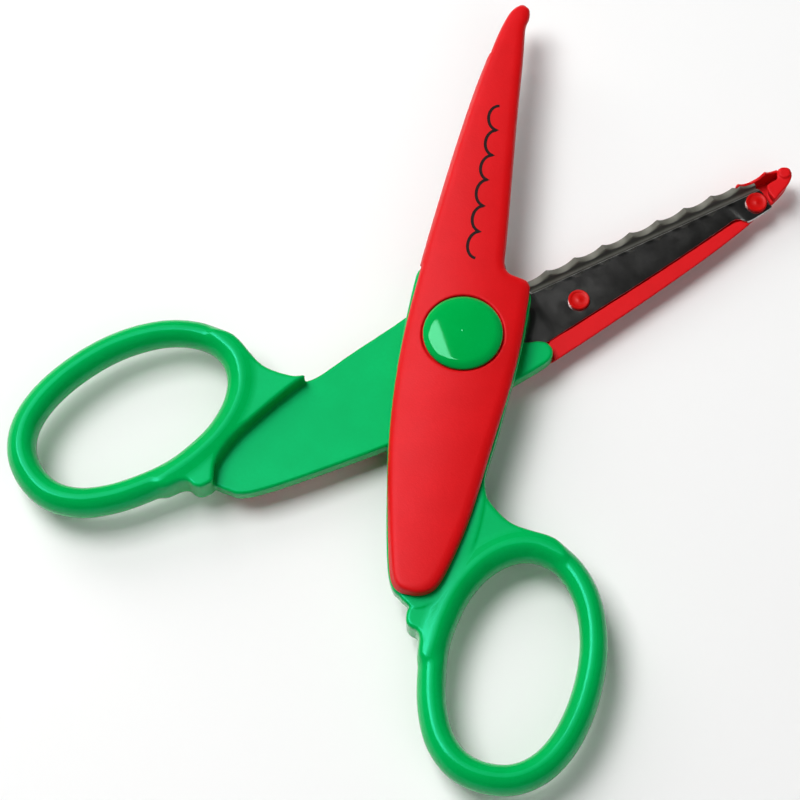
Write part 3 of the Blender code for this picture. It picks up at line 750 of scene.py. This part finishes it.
def flange_section(radius, side):
    """Across the flange at one radius: inner face from the edge to the plate, then back along the outer.

    Past the end of the band the section is trimmed on its edge side, which leaves the narrow tongue.
    """
    land_z = side * float(scallop(radius)) + EDGE_CLEARANCE
    foot_z = max(FOOT_Z, land_z)
    trim = TONGUE_TRIM * min(1.0, max(0.0, (radius - BAND_END_R) / TONGUE_STEP))
    profile = [(0.0, land_z + LAND_BREAK), (LAND_BREAK, land_z)]
    profile += [(LAND_WIDTH + along, land_z + rise) for along, rise in LAND_END]
    width, share = LAND_STEP
    profile.append((width, max(land_z, (1 - share) * land_z + share * foot_z)))
    profile.append((FOOT_WIDTH, foot_z))
    profile += [(width, foot_z + share * (FOLD_Z - foot_z)) for width, share in FOLD]
    profile += FOLD_END
    profile += [(width, max(least, foot_z + above)) for width, least, above in FLANGE_BACK]
    profile += [(width, land_z + above) for width, above in LAND_BACK]
    section = []
    for width, height in profile:
        x, y = on_arc(radius, max(width, trim + TONGUE_SPREAD * width), side)
        section.append((x * MM, y * MM, height * MM))
    return section


def flange_mesh(side):
    """The scalloped flange with its tongue: a closed strip through its sections."""
    start = (FIRST_CUSP_R - BAND_START_R) / SCALLOP_PITCH
    end = (TONGUE_END_R - FIRST_CUSP_R) / SCALLOP_PITCH
    marks = np.arange(-math.floor(start * BAND_STATIONS_PER_PITCH), end * BAND_STATIONS_PER_PITCH)
    between = FIRST_CUSP_R + SCALLOP_PITCH * marks / BAND_STATIONS_PER_PITCH
    rows = [flange_section(radius, side) for radius in (BAND_START_R, *between, TONGUE_END_R)]
    count = len(rows[0])
    faces = []
    for row in range(len(rows) - 1):
        a, b = row * count, (row + 1) * count
        for i in range(count):
            j = (i + 1) % count
            faces += [(a + i, a + j, b + j), (a + i, b + j, b + i)]
    last = (len(rows) - 1) * count
    faces.append(tuple(range(count)))
    faces.append(tuple(range(last + count - 1, last - 1, -1)))
    return listed("flange", [point for row in rows for point in row], faces, triangles=True)


def cylinder_mesh(radius, z_range, at=(0.0, 0.0)):
    """A plain cylinder that cuts a hole."""
    profile = [(0.0, z_range[1]), (radius, z_range[1]), (radius, z_range[0]), (0.0, z_range[0])]
    return shifted(turned_mesh("cylinder", profile, TOOL_SIDES), at)


def blade_mesh(side):
    """The plate and its flange in one, with holes for the rivets and the pivot."""
    body = slab_mesh("plate", plate_loop(side, SHEET_LOOP_STEPS), PLATE_Z, PLATE_ROUNDING)
    body = boolean(body, [flange_mesh(side)], "UNION", "MANIFOLD")
    holes = [cylinder_mesh(SOCKET_R, SOCKET_TOOL_Z, at) for at in RIVETS.values()]
    return boolean(body, [*holes, cylinder_mesh(BORE_R, BORE_TOOL_Z)], "DIFFERENCE", "EXACT")


# ---- turned


def turned_mesh(name, profile, sides=TURN_SIDES):
    """A closed turned mesh from (radius, height) pairs in millimetres that run down its outer side."""
    turns = np.arange(sides) * 2 * math.pi / sides
    points, rings = [], []
    for radius, height in profile:
        if radius == 0.0:
            rings.append([len(points)])
            points.append((0.0, 0.0, height * MM))
            continue
        rings.append(list(range(len(points), len(points) + sides)))
        points += [(radius * MM * math.cos(t), radius * MM * math.sin(t), height * MM) for t in turns]
    faces = []
    for upper, lower in zip(rings, rings[1:]):
        above, below = len(upper), len(lower)
        for i in range(sides):
            j = (i + 1) % sides
            corners = [upper[i % above], lower[i % below], lower[j % below], upper[j % above]]
            faces.append(tuple(dict.fromkeys(corners)))
    return listed(name, points, faces)


def rounded(corner, before, after, radius, steps=4):
    """Points of a quarter round at a profile corner."""
    corner, before, after = (np.array(p, float) for p in (corner, before, after))
    start = corner + (before - corner) / np.linalg.norm(before - corner) * radius
    end = corner + (after - corner) / np.linalg.norm(after - corner) * radius
    shares = np.linspace(0.0, 1.0, steps + 1)
    return [tuple((1 - t) ** 2 * start + 2 * t * (1 - t) * corner + t**2 * end) for t in shares]


def rivet_mesh(at):
    """A rivet with a dished head that has a rounded rim."""
    end = (RIVET_SHANK_R, RIVET_END_Z)
    base = (RIVET_SHANK_R, RIVET_BASE_Z)
    profile = [(0.0, RIVET_END_Z), *rounded(end, (0.0, RIVET_END_Z), base, RIVET_END_ROUNDING), base]
    profile.append((RIVET_HEAD_R - RIVET_BASE_BREAK, RIVET_BASE_Z))
    profile.append((RIVET_HEAD_R, RIVET_BASE_Z - RIVET_BASE_BREAK))
    profile.append((RIVET_HEAD_R, RIVET_TOP_Z + RIVET_RIM_DROP))
    profile += [(radius, RIVET_TOP_Z + depth) for radius, depth in RIVET_DISH]
    return shifted(turned_mesh("rivet", profile, RIVET_SIDES), at)


def dome_z(radius):
    """Height of the button's crown: a shallow sphere that turns down more steeply near its rim."""
    rise = BUTTON_TOP_Z - BUTTON_RIM_Z
    sphere_r = (BUTTON_R**2 + rise**2) / (2 * rise)
    turn_down = max(0.0, radius - DOME_SHOULDER_R) / (BUTTON_R - DOME_SHOULDER_R)
    crown = BUTTON_TOP_Z - sphere_r + math.sqrt(sphere_r**2 - radius**2)
    return crown - DOME_SHOULDER_DROP * turn_down**DOME_SHOULDER_POWER


def button_mesh(land_r):
    """The domed cap, its edge rounded, with a hub below it. Without a land it has the gate mark."""
    top = dome_z(land_r)
    if land_r > 0:
        profile = [(0.0, top), (land_r, top)]
    else:
        profile = [(0.0, top + GATE_RISE), (GATE_TOP_SHARE * GATE_R, top + GATE_RISE), (GATE_R, top)]
    last = BUTTON_R - BUTTON_EDGE
    first = max(land_r, GATE_R)
    for share in np.linspace(0.0, 1.0, DOME_STATIONS)[1:]:
        radius = first + (last - first) * share
        profile.append((radius, dome_z(radius)))
    edge, below = (BUTTON_R, dome_z(BUTTON_R)), (BUTTON_R, BUTTON_UNDER_Z)
    profile += rounded(edge, (last, dome_z(last)), below, BUTTON_EDGE_ROUNDING)[1:]
    inwards, upwards = BUTTON_UNDER_BREAK
    profile += [(BUTTON_R, BUTTON_UNDER_Z + upwards), (BUTTON_R - inwards, BUTTON_UNDER_Z)]
    profile += [(HUB_R, BUTTON_UNDER_Z), (HUB_R, HUB_Z), (0.0, HUB_Z)]
    return turned_mesh("button", profile)


# ---- print


def print_mesh(plan):
    """The printed scallop line: a thin raised ribbon that follows the front cover's crown."""
    centre = []
    for (x0, y0), (x1, y1) in zip(PRINT_CUSPS, PRINT_CUSPS[1:]):
        for t in np.linspace(0.0, 1.0, PRINT_STATIONS)[:-1]:
            y = y0 + (y1 - y0) * (0.5 - 0.5 * math.cos(math.pi * t))
            bulge = PRINT_BULGE * math.sin(math.pi * t)
            centre.append((x0 + (x1 - x0) * t - bulge, y))
    centre.append(PRINT_CUSPS[-1])
    centre = np.array(centre)
    along = np.gradient(centre, axis=0)
    along /= np.linalg.norm(along, axis=1, keepdims=True)
    across = np.stack([-along[:, 1], along[:, 0]], axis=1) * PRINT_WIDTH / 2
    left, right = centre + across, centre - across
    points, faces = [], []
    for side in (left, right):
        height = cover_top(side[:, 0], side[:, 1], -plan(side[:, 0], side[:, 1]))
        for raise_by in (PRINT_RAISE, -PRINT_DEPTH):
            points.append(np.column_stack([side, height + raise_by]))
    ring = [0, 1, 3, 2]
    count = len(centre)
    for this, following in zip(ring, ring[1:] + ring[:1]):
        a, b = this * count, following * count
        faces += [(a + i, b + i, b + i + 1, a + i + 1) for i in range(count - 1)]
    for end in (0, count - 1):
        faces.append(tuple(r * count + end for r in ring))
    return listed("print", np.concatenate(points) * MM, faces)


# ---- materials


class Look:
    """A Principled material, with short calls that add nodes to it."""

    def __init__(self, name, metallic=0.0, **sockets):
        self.material = bpy.data.materials.new(name)
        self.material.use_nodes = True
        self.nodes = self.material.node_tree.nodes
        self.links = self.material.node_tree.links
        self.shader = self.nodes["Principled BSDF"]
        self.shader.inputs["Metallic"].default_value = metallic
        for socket, value in sockets.items():
            self.shader.inputs[socket.replace("_", " ")].default_value = value
        self.place = self.nodes.new("ShaderNodeTexCoord").outputs["Object"]

    def node(self, kind, inputs=None, **settings):
        made = self.nodes.new(kind)
        for key, value in settings.items():
            setattr(made, key, value)
        for key, value in (inputs or {}).items():
            if isinstance(value, bpy.types.NodeSocket):
                self.links.new(value, made.inputs[key])
            else:
                made.inputs[key].default_value = value
        return made

    def stretched(self, scale, angle=0.0):
        """Object coordinates turned about Z and then scaled."""
        inputs = {"Vector": self.place, "Rotation": (0.0, 0.0, angle)}
        turned = self.node("ShaderNodeMapping", inputs).outputs[0]
        return self.node("ShaderNodeMapping", {"Vector": turned, "Scale": scale}).outputs[0]

    def noise(self, scale, detail=2.0, where=None, roughness=0.5):
        inputs = {"Vector": where or self.place, "Scale": scale, "Detail": detail, "Roughness": roughness}
        return self.node("ShaderNodeTexNoise", inputs).outputs["Fac"]

    def ramp(self, factor, *stops):
        """A colour ramp from (position, value) stops; a value is a grey level or a colour."""
        made = self.node("ShaderNodeValToRGB", {"Fac": factor})
        elements = made.color_ramp.elements
        while len(elements) < len(stops):
            elements.new(1.0)
        for element, (position, value) in zip(elements, stops):
            colour = value if isinstance(value, tuple) else (value, value, value)
            element.position = position
            element.color = (*colour, 1.0)
        return made.outputs["Color"]

    def mix(self, factor, first, second):
        made = self.node("ShaderNodeMix", data_type="RGBA")
        for key, value in ((0, factor), (6, first), (7, second)):
            if isinstance(value, bpy.types.NodeSocket):
                self.links.new(value, made.inputs[key])
            else:
                made.inputs[key].default_value = (*value, 1.0) if isinstance(value, tuple) else value
        return made.outputs[2]

    def maths(self, operation, first, second):
        return self.node("ShaderNodeMath", {0: first, 1: second}, operation=operation).outputs[0]

    def dot(self, direction, offset):
        """Distance along a direction in object space, plus an offset."""
        along = self.node("ShaderNodeVectorMath", {0: self.place, 1: direction}, operation="DOT_PRODUCT")
        return self.maths("ADD", along.outputs["Value"], offset)

    def fade(self, value, start, end):
        """0 at start and 1 at end, smooth between them."""
        inputs = {"Value": value, "From Min": start, "From Max": end}
        return self.node("ShaderNodeMapRange", inputs, interpolation_type="SMOOTHSTEP").outputs[0]

    def patches(self, field, low, high, strength):
        """A factor that rises from 0 to strength where a field goes from low to high."""
        return self.maths("MULTIPLY", self.ramp(field, (low, 0.0), (high, 1.0)), strength)

    def stripe(self, value, centre, reach):
        """1 where a value is near a centre, and 0 at more than reach from it."""
        off_centre = self.maths("ABSOLUTE", self.maths("SUBTRACT", value, centre), 0.0)
        return self.fade(off_centre, reach, STRIPE_CORE * reach)

    def colour(self, socket):
        self.links.new(socket, self.shader.inputs["Base Color"])

    def roughness(self, factor, low, high):
        spread = self.node("ShaderNodeMapRange", {"Value": factor, "To Min": low, "To Max": high})
        self.links.new(spread.outputs[0], self.shader.inputs["Roughness"])

    def bump(self, height, distance, strength=1.0):
        inputs = {"Height": height, "Distance": distance, "Strength": strength}
        made = self.node("ShaderNodeBump", inputs)
        self.links.new(made.outputs[0], self.shader.inputs["Normal"])


def moulded(name, base, deep, pale, rough, grain, tint, flat_rough=0.0):
    """Moulded plastic: cloudy pigment, scattered pale specks, uneven gloss and a fine grain."""
    look = Look(name, Specular_Tint=(*tint, 1.0))
    cloud = look.noise(160.0, 3.0)
    flow = look.noise(45.0, 4.0, look.stretched(FLOW_STRETCH))
    mottle = look.noise(1900.0, 2.0)
    speck = look.noise(2600.0, 1.0)
    tone = look.mix(look.ramp(cloud, (0.3, 0.0), (0.7, 1.0)), deep, base)
    tone = look.mix(look.patches(flow, 0.5, 0.8, 0.35), tone, pale)
    tone = look.mix(look.patches(mottle, 0.35, 0.65, 0.4), tone, deep)
    tone = look.mix(look.patches(speck, 0.68, 0.76, 0.3), tone, pale)
    look.colour(tone)
    normal = look.node("ShaderNodeTexCoord").outputs["Normal"]
    upright = look.node("ShaderNodeVectorMath", {0: normal, 1: (0.0, 0.0, 1.0)}, operation="DOT_PRODUCT")
    flat = look.fade(look.maths("ABSOLUTE", upright.outputs["Value"], 0.0), *FLAT_FACE)
    uneven = look.maths("MULTIPLY", look.noise(220.0, 4.0), rough[1] - rough[0])
    gloss = look.maths("ADD", uneven, look.maths("MULTIPLY", flat, flat_rough))
    look.roughness(gloss, rough[0], rough[0] + 1.0)
    grain_scale, grain_height = grain
    look.bump(look.noise(grain_scale, 3.0), grain_height, 1.0)
    return look.material


def blade_places(look, side):
    """Distance from the cutting edge, distance from the pivot, and the blade's turn in plan."""
    to_half = half_matrix(side).inverted()
    across, along = (Vector(to_half[row][:3]) for row in (0, 1))
    norm = math.hypot(1.0, EDGE_SLOPE)
    offset = (edge_x0(side) * MM + EDGE_SLOPE * to_half[1][3] - to_half[0][3]) / norm
    width = look.dot((EDGE_SLOPE * along - across) / norm, offset)
    in_plan = look.node("ShaderNodeVectorMath", {0: look.place, 1: (1.0, 1.0, 0.0)}, operation="MULTIPLY")
    length = look.node("ShaderNodeVectorMath", {0: in_plan.outputs[0]}, operation="LENGTH")
    return width, length.outputs["Value"], math.atan2(along.x, along.y)


def painted_fold_shade(look, width, radius):
    """Painted shade on the plate beside the fold, darkest midway between the cusps."""
    from_cusp = look.maths("SUBTRACT", radius, FIRST_CUSP_R * MM)
    phase = look.maths("MULTIPLY", from_cusp, 2 * math.pi / SCALLOP_PITCH / MM)
    wave = look.fade(look.maths("COSINE", phase, 0.0), *FOLD_SHADE_WAVE)
    centre, reach = FOLD_SHADE_WIDTH
    mark = look.maths("MULTIPLY", wave, look.stripe(width, centre * MM, reach * MM))
    start, full = FOLD_SHADE_FROM_R
    mark = look.maths("MULTIPLY", mark, look.fade(radius, start * MM, full * MM))
    return look.maths("MULTIPLY", mark, FOLD_SHADE_STRENGTH)


def plate_tone(look, lines, scratches, marks):
    """The polished plate: a cloudy film, a fine grain, lines along the blade, painted shade beside the fold,
    and scratches.
    """
    film = look.noise(150.0, 4.0)
    grain = look.noise(2300.0, 3.0)
    tone = look.mix(look.ramp(film, (0.35, 0.0), (0.65, 1.0)), *PLATE_TONES)
    tone = look.mix(look.patches(grain, 0.45, 0.65, 0.45), tone, GRAIN_TONE)
    tone = look.mix(look.patches(lines, 0.5, 0.75, 0.3), tone, LINE_TONE)
    tone = look.mix(marks, tone, FOLD_SHADE_TONE)
    return look.mix(scratches, tone, SCRATCH_TONE)


def band_tone(look, width, smudge):
    """The satin flange, with a painted highlight between two lines of painted shade along its fold."""
    tone = look.mix(look.ramp(smudge, (0.3, 0.0), (0.7, 1.0)), *BAND_TONES)
    for centre, reach, grey in FOLD_LIGHT_AND_SHADE:
        line = look.stripe(width, centre * MM, reach * MM)
        tone = look.mix(line, tone, (grey, grey, 0.9 * grey))
    return tone


def steel_look(name, side):
    """Polished strip steel with a satin flange."""
    look = Look(name, metallic=1.0)
    width, radius, turn = blade_places(look, side)
    satin = look.fade(width, SATIN_WIDTH[1] * MM, SATIN_WIDTH[0] * MM)
    start, full = SATIN_FROM_R
    satin = look.maths("MULTIPLY", satin, look.fade(radius, start * MM, full * MM))
    lines = look.noise(1.0, 3.0, look.stretched(LINE_STRETCH, turn))
    smudge = look.noise(420.0, 4.0)
    scratch = look.noise(1.0, 0.0, look.stretched(SCRATCH_STRETCH, turn + SCRATCH_TURN))
    scratches = look.patches(scratch, 0.82, 0.88, 0.35)
    plain = plate_tone(look, lines, scratches, painted_fold_shade(look, width, radius))
    look.colour(look.mix(satin, plain, band_tone(look, width, smudge)))
    metallic = look.maths("SUBTRACT", 1.0, look.maths("MULTIPLY", satin, SATIN_METAL_LOSS))
    look.links.new(metallic, look.shader.inputs["Metallic"])
    worn = look.maths("ADD", look.maths("MULTIPLY", smudge, 0.10), look.maths("MULTIPLY", satin, 0.42))
    worn = look.maths("ADD", worn, look.maths("MULTIPLY", scratches, 0.3))
    look.roughness(worn, *STEEL_ROUGHNESS)
    look.bump(look.maths("ADD", lines, look.maths("MULTIPLY", scratches, -0.6)), *STEEL_BUMP)
    return look.material


def ink_look(name):
    """Dull printed ink with uneven cover."""
    look = Look(name, Specular_IOR_Level=0.2)
    cover = look.noise(3000.0, 2.0)
    look.colour(look.mix(look.ramp(cover, (0.35, 0.0), (0.75, 1.0)), *INK_TONES))
    look.roughness(look.noise(900.0, 2.0), 0.55, 0.75)
    look.bump(cover, 0.00001, 0.5)
    return look.material


# ---- scene


def half_matrix(side):
    """From a half's closed frame to its place in the open scissors."""
    lift = Matrix.Translation((0.0, 0.0, MID_Z))
    turn = Matrix.Rotation(HALF_OPENING, 4, "Z")
    if side > 0:
        return lift @ turn
    return lift @ Matrix.Rotation(-HALF_OPENING, 4, "Z") @ Matrix.Rotation(math.pi, 4, "Y")


def add_piece(name, mesh, side, material, slot, *nodes, sharp=SHARP_ANGLE):
    """Puts a mesh into its half under its body, and hides the CAD nodes that it stands for. The slot is not
    used.
    """
    mesh.materials.clear()
    mesh.materials.append(material)
    mesh.shade_smooth()
    if sharp:
        mesh.set_sharp_from_angle(angle=sharp)
    mesh.transform(half_matrix(side))
    piece = bpy.data.objects.new(name, mesh)
    show(piece)
    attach(piece, "front_half" if side > 0 else "rear_half")
    if nodes:
        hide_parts(*nodes)


def build_pieces():
    """Every piece of both halves, and the print line on the front cover."""
    looks = {key: moulded(key + "_plastic", **plastic) for key, plastic in PLASTICS.items()}
    for half, side in SIDES.items():
        looks[half + "_steel"] = steel_look(half + "_steel", side)
    looks["ink"] = ink_look("print_ink")
    for half, side in SIDES.items():
        mesh = solid_from(half + "_handle", handle_field(side), *HANDLE_BOX, HANDLE_STEP)
        add_piece(half + "_grip", mesh, side, looks["green"], "handle_green", half + "_handle", sharp=None)
        plan = cover_plan(side)
        mesh = solid_from(half + "_cover", cover_field(plan, side), *COVER_BOX, COVER_STEP)
        add_piece(half + "_shell", mesh, side, looks["red"], "cover_red", half + "_cover", sharp=None)
        steel = looks[half + "_steel"]
        add_piece(half + "_sheet", blade_mesh(side), side, steel, "blade_steel", half + "_blade")
        for where, at in RIVETS.items():
            node = half + "_" + where + "_rivet"
            name = half + "_" + where + "_pin"
            add_piece(name, rivet_mesh(at), side, looks["rivet"], "rivet_red", node)
        land = 0.0 if side > 0 else REAR_LAND_R
        add_piece(half + "_cap", button_mesh(land), side, looks["button"], "button_green", half + "_button")
        if side > 0:
            add_piece("print_line", print_mesh(plan), side, looks["ink"], "cover_red")
    for node in ("pivot_rivet", "pivot_washer"):
        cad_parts[node].data.materials.clear()
        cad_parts[node].data.materials.append(looks["rear_steel"])


def add_camera():
    """The camera at the photo's angle."""
    level = math.sin(VIEW_TILT)
    back = Vector((level * math.cos(VIEW_AZIMUTH), level * math.sin(VIEW_AZIMUTH), math.cos(VIEW_TILT)))
    right = Vector((math.cos(VIEW_UP), math.sin(VIEW_UP), 0.0)).cross(back).normalized()
    camera = bpy.data.objects.new("camera", bpy.data.cameras.new("camera"))
    camera.data.lens = VIEW_LENS
    camera.data.sensor_width = VIEW_SENSOR
    camera.data.clip_start = VIEW_CLIP_START
    turn = Matrix((right, back.cross(right), back)).transposed().to_4x4()
    camera.matrix_world = Matrix.Translation(VIEW_AT + back * VIEW_DISTANCE) @ turn
    show(camera)
    bpy.context.scene.camera = camera


def add_area(name, direction, distance, size, power, side=(1.0, 0.0, 0.0), mirrored=False):
    """A rectangular softbox that faces the pivot from a direction; its first side runs along side.

    Only a mirrored one shows in reflections.
    """
    light = bpy.data.lights.new(name, "AREA")
    light.shape = "RECTANGLE"
    light.size, light.size_y = size
    light.energy = power
    away = Vector(direction).normalized()
    across = away.cross(Vector(side)).normalized()
    lamp = bpy.data.objects.new(name, light)
    lamp.visible_glossy = mirrored
    turn = Matrix((across.cross(away), across, away)).transposed().to_4x4()
    lamp.matrix_world = Matrix.Translation(away * distance) @ turn
    show(lamp)


def add_floor():
    """The pale paper that the object lies on."""
    mesh = bpy.data.meshes.new("floor")
    corners = [(x * FLOOR_REACH, y * FLOOR_REACH, 0.0) for x, y in ((-1, -1), (1, -1), (1, 1), (-1, 1))]
    mesh.from_pydata(corners, [], [(0, 1, 2, 3)])
    look = Look("floor_paper")
    low, high = FLOOR_TONES
    look.colour(look.ramp(look.noise(3.0, 2.0), (0.3, low), (0.7, high)))
    look.shader.inputs["Roughness"].default_value = FLOOR_ROUGHNESS
    mesh.materials.append(look.material)
    floor = bpy.data.objects.new("floor", mesh)
    floor.location.z = FLOOR_Z
    show(floor)


def graded(nodes, links, direction, stops):
    """Brightness that changes smoothly along a direction, from (from, to, value at from, value at to)."""
    along = nodes.new("ShaderNodeVectorMath")
    along.operation = "DOT_PRODUCT"
    along.inputs[1].default_value = direction
    links.new(nodes.new("ShaderNodeTexCoord").outputs["Generated"], along.inputs[0])
    spread = nodes.new("ShaderNodeMapRange")
    spread.interpolation_type = "SMOOTHSTEP"
    for socket, value in zip(("From Min", "From Max", "To Min", "To Max"), stops):
        spread.inputs[socket].default_value = value
    links.new(along.outputs["Value"], spread.inputs["Value"])
    return spread.outputs[0]


def add_sky():
    """The studio's surroundings, which the steel and the gloss mirror."""
    world = bpy.data.worlds.new("studio")
    world.use_nodes = True
    nodes, links = world.node_tree.nodes, world.node_tree.links
    sky = nodes.new("ShaderNodeMath")
    sky.operation = "MULTIPLY"
    links.new(graded(nodes, links, (0.0, 0.0, 1.0), SKY_BY_HEIGHT), sky.inputs[0])
    links.new(graded(nodes, links, SKY_BRIGHT_SIDE, SKY_BY_SIDE), sky.inputs[1])
    links.new(sky.outputs[0], nodes["Background"].inputs["Strength"])
    bpy.context.scene.world = world
    bpy.context.scene.view_settings.view_transform = "Standard"


add_camera()
add_floor()
for light in LIGHTS:
    add_area(*light)
add_sky()
build_pieces()
